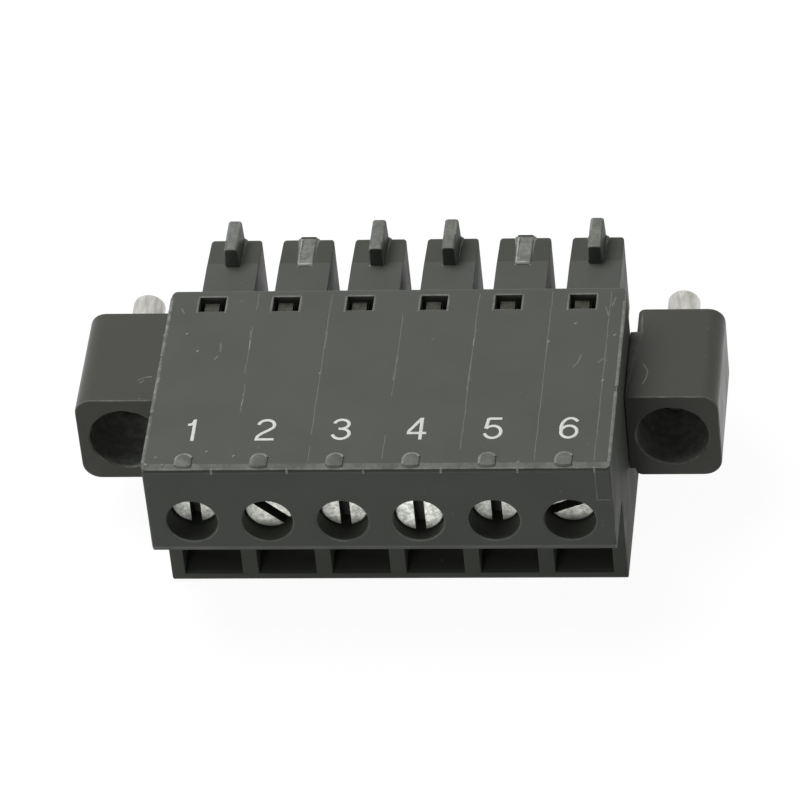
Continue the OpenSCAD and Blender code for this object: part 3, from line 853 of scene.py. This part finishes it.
def addPoleMarks():
    m = poleMarks
    bpy.ops.object.select_all(action="DESELECT")
    bpy.ops.mesh.primitive_circle_add(vertices=32, radius=m["radius"] * mm, fill_type="NGON")
    blank = bpy.context.object
    editParts(blank, "VERT", lambda vertex: vertex.co.y < -0.001 * mm)
    bpy.ops.transform.resize(value=(1, m["frontFlatness"], 1), center_override=(0, 0, 0))
    bpy.ops.transform.translate(value=(0, -m["leg"] * mm, 0))
    bpy.ops.mesh.select_all(action="SELECT")
    for rise, scale in ((m["sunk"], 1), *m["dome"]):
        bpy.ops.mesh.extrude_region_move(TRANSFORM_OT_translate={"value": (0, 0, rise * mm)})
        bpy.ops.transform.resize(value=(scale, scale, 1), center_override=(0, m["middle"] * mm, 0))
    bpy.ops.mesh.select_all(action="SELECT")
    bpy.ops.mesh.normals_make_consistent(inside=False)
    leaveEdit()
    # the marks are painted paler than the top as a highlight
    paint(blank, "housingRubbedHighlit")
    rims = []
    r = m["radius"] * m["rimShare"]
    for i in poles:
        x, y = poleX(i) / mm + m["acrossPole"], frontY / mm + m["fromFront"]
        mark = copyPiece(blank, f"poleMark{i}")
        mark.location = (x * mm, y * mm, topZ - m["sunk"] * mm)
        applyPlace(mark)
        smoothShade(mark)
        seat(mark, "housing", "housing")
        rims.append([(x - r, y - m["leg"])] + arc(x, y, r, r, *m["rimTurn"]))
    bpy.data.objects.remove(blank)
    rimTop = Vector((0, 0, topZ + m["rimRise"] * mm))
    # the rims are painted pale as a highlight
    addStrokes("poleMarkRims", rims, m["rimWidth"], m["rimRelief"], rimTop, "rub")
    print("pole marks made:", len(rims))


# ---- screws
clampScrew = {
    "headRadius": 1.22, "headLength": 1.2, "edge": 0.12, "edgeStep": 0.04, "softEdge": 0.03,
    "rootRadius": 0.80, "crestRadius": 1.0, "pitch": 0.4, "threadStart": 0.15, "threadShorter": 0.2,
    "screwLength": 6.2, "pivotRadius": 0.65, "pivotLength": 0.8,
    "slotWidth": 0.52, "slotDepth": 0.8, "slotAngles": (90, -42, 90, 90, 90, 22),
}
flangeScrew = {
    "headRadius": 1.77, "headLength": 1.2, "edge": 0.14, "softEdge": 0.04,
    "neckRadius": 0.975, "neckLength": 1.9,
    "rootRadius": 0.93, "crestRadius": 1.21, "pitch": 0.45, "threadLength": 1.7,
    "tipRadius": 0.84, "tipLength": 2.05, "cone": 0.2, "slotWidth": 0.6, "slotDepth": 0.5,
}


def turnedBlank(name, finish, stations):
    # a bar turned down along +Y: each station is (radius, distance from the one before)
    radius, start = stations[0]
    bpy.ops.object.select_all(action="DESELECT")
    bpy.ops.mesh.primitive_circle_add(
        vertices=48, radius=radius * mm, fill_type="NGON", rotation=(math.pi / 2, 0, 0)
    )
    piece = bpy.context.object
    piece.name = name
    paint(piece, finish, "slotShade")
    piece.location.y = start * mm
    applyPlace(piece)
    bpy.ops.object.mode_set(mode="EDIT")
    bpy.ops.mesh.select_all(action="SELECT")
    for newRadius, advance in stations[1:]:
        bpy.ops.mesh.extrude_region_move(TRANSFORM_OT_translate={"value": (0, advance * mm, 0)})
        scale = newRadius / radius
        bpy.ops.transform.resize(value=(scale, 1, scale), center_override=(0, 0, 0))
        radius = newRadius
    bpy.ops.mesh.select_all(action="SELECT")
    bpy.ops.mesh.normals_make_consistent(inside=False)
    leaveEdit()
    return piece


def cutSlot(piece, width, depth, radius):
    # painted shade: the walls and floor of the slot are drawn dark, as little light reaches into the deep
    # slot
    bpy.ops.object.select_all(action="DESELECT")
    bpy.ops.mesh.primitive_cube_add(size=1, location=(0, 0, 0))
    cutter = bpy.context.object
    cutter.scale = (3 * radius * mm, 2 * depth * mm, width * mm)
    applyPlace(cutter)
    applyModifier(piece, "BOOLEAN", operation="DIFFERENCE", object=cutter, solver="EXACT")
    bpy.data.objects.remove(cutter)
    half = width / 2 * mm
    repaintFaces(piece, "slotShade", lambda place, normal: (
        0.05 * mm < place.y < (depth + 0.01) * mm
        and (abs(abs(place.z) - half) < 0.001 * mm or normal.y < -0.99)
    ))


def addThread(piece, start, length, settings):
    # a three-sided ridge wound round the core; its foot is sunk and narrowed by the same amount
    foot = 0.06
    sunk = settings["rootRadius"] - foot
    pitch = settings["pitch"]
    corners = ((sunk, foot), (settings["crestRadius"], pitch / 2), (sunk, pitch - foot))
    bpy.ops.object.select_all(action="DESELECT")
    bpy.ops.mesh.primitive_circle_add(vertices=3, radius=1, fill_type="NOTHING")
    ridge = bpy.context.object
    for vertex, (x, y) in zip(ridge.data.vertices, corners):
        vertex.co = (x * mm, (start + y) * mm, 0)
    turns = math.floor(length / pitch) - 1
    applyModifier(
        ridge, "SCREW", axis="Y", angle=math.tau, screw_offset=pitch * mm, iterations=turns,
        steps=32, render_steps=32, use_merge_vertices=True, merge_threshold=0.001 * mm,
    )
    bpy.ops.object.mode_set(mode="EDIT")
    bpy.ops.mesh.select_all(action="SELECT")
    bpy.ops.mesh.fill_holes(sides=3)
    bpy.ops.mesh.select_all(action="SELECT")
    bpy.ops.mesh.normals_make_consistent(inside=False)
    leaveEdit()
    makeActive(piece)
    ridge.select_set(True)
    bpy.ops.object.join()


def breakEdges(piece, width):
    applyModifier(
        piece, "BEVEL", width=width * mm, segments=2, limit_method="ANGLE",
        angle_limit=math.radians(40), use_clamp_overlap=True,
    )


def placeScrew(blank, name, node, slotName, turn=0):
    screw = copyPiece(blank, name)
    low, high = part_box(node)
    screw.rotation_euler.y = math.radians(turn)
    screw.location = ((low.x + high.x) / 2, low.y, (low.z + high.z) / 2)
    applyPlace(screw)
    smoothShade(screw)
    seat(screw, node, slotName, node)


def addClampScrews():
    s = clampScrew
    shank = s["screwLength"] - s["headLength"]
    blank = turnedBlank("clampScrewBlank", "clampScrew", [
        (s["headRadius"] - s["edge"], 0), (s["headRadius"] - s["edgeStep"], s["edgeStep"]),
        (s["headRadius"], s["edge"] - s["edgeStep"]), (s["headRadius"], s["headLength"] - s["edge"]),
        (s["rootRadius"], 0), (s["rootRadius"], shank), (s["pivotRadius"], 0),
        (s["pivotRadius"], s["pivotLength"]),
    ])
    cutSlot(blank, s["slotWidth"], s["slotDepth"], s["headRadius"])
    breakEdges(blank, s["softEdge"])
    addThread(blank, s["headLength"] + s["threadStart"], shank - s["threadShorter"], s)
    for i, angle in zip(poles, s["slotAngles"]):
        placeScrew(blank, f"clampScrew{i}", f"clamp_screw_{i}", "clampScrew", -angle)
    bpy.data.objects.remove(blank)
    print("clamp screws made")


def addFlangeScrews():
    s = flangeScrew
    blank = turnedBlank("flangeScrewBlank", "flangeScrew", [
        (s["headRadius"] - s["edge"], 0), (s["headRadius"], s["edge"]),
        (s["headRadius"], s["headLength"] - s["edge"]), (s["neckRadius"], 0),
        (s["neckRadius"], s["neckLength"]), (s["rootRadius"], 0), (s["rootRadius"], s["threadLength"]),
        (s["tipRadius"], 0), (s["tipRadius"], s["tipLength"] - s["cone"]),
        (s["tipRadius"] - s["cone"], s["cone"]),
    ])
    cutSlot(blank, s["slotWidth"], s["slotDepth"], s["headRadius"])
    breakEdges(blank, s["softEdge"])
    addThread(blank, s["headLength"] + s["neckLength"], s["threadLength"], s)
    for side in sides:
        placeScrew(blank, f"{side}FlangeScrew", f"flange_screw_{side}", "flangeScrew")
    bpy.data.objects.remove(blank)
    print("flange screws made")


# ---- floor and room
def shownToEye(owner):
    # camera, glossy and transmission rays see the white backdrop, the rest the dimmer room
    rays = [addNode(owner, "ShaderNodeLightPath", out=f"Is {kind} Ray")
            for kind in ("Camera", "Glossy", "Transmission")]
    first = addNode(owner, "ShaderNodeMath", {0: rays[0], 1: rays[1]}, operation="MAXIMUM")
    return addNode(owner, "ShaderNodeMath", {0: first, 1: rays[2]}, operation="MAXIMUM")


def addFloor():
    bpy.ops.object.select_all(action="DESELECT")
    bpy.ops.mesh.primitive_plane_add(size=4, location=(0, 0, -0.02 * mm))
    floor = bpy.context.object
    floor.name = "floor"
    material = newMaterial("white_paper")
    paper = addNode(material, "ShaderNodeBsdfDiffuse", {"Color": linear(room["paper"])})
    shadowed = addNode(material, "ShaderNodeBsdfDiffuse", {"Color": linear(room["shadowed"])})
    lift = addNode(material, "ShaderNodeEmission", {"Strength": room["lift"]})
    lifted = addNode(material, "ShaderNodeAddShader", {0: shadowed, 1: lift})
    shown = addNode(material, "ShaderNodeMixShader", {0: shownToEye(material), 1: paper, 2: lifted})
    addNode(material, "ShaderNodeOutputMaterial", {"Surface": shown})
    floor.data.materials.append(material)


def addRoom():
    world = bpy.data.worlds.new("softRoom")
    bpy.context.scene.world = world
    world.use_nodes = True
    world.node_tree.nodes.clear()
    white = addNode(world, "ShaderNodeBackground", {"Color": (1, 1, 1, 1), "Strength": 1.0})
    dim = addNode(world, "ShaderNodeBackground", {"Color": (1, 1, 1, 1), "Strength": room["ambient"]})
    seen = addNode(world, "ShaderNodeMixShader", {0: shownToEye(world), 1: dim, 2: white})
    addNode(world, "ShaderNodeOutputWorld", {"Surface": seen})


addCamera()
addSoftboxes()
addFloor()
addRoom()
addMouldings()
addStampings()
addClampScrews()
addFlangeScrews()
addNumerals()
addSeams()
addScuffs()
addWindowRims()
addLipBridges()
addPoleMarks()

bpy.context.scene.view_settings.view_transform = "Standard"
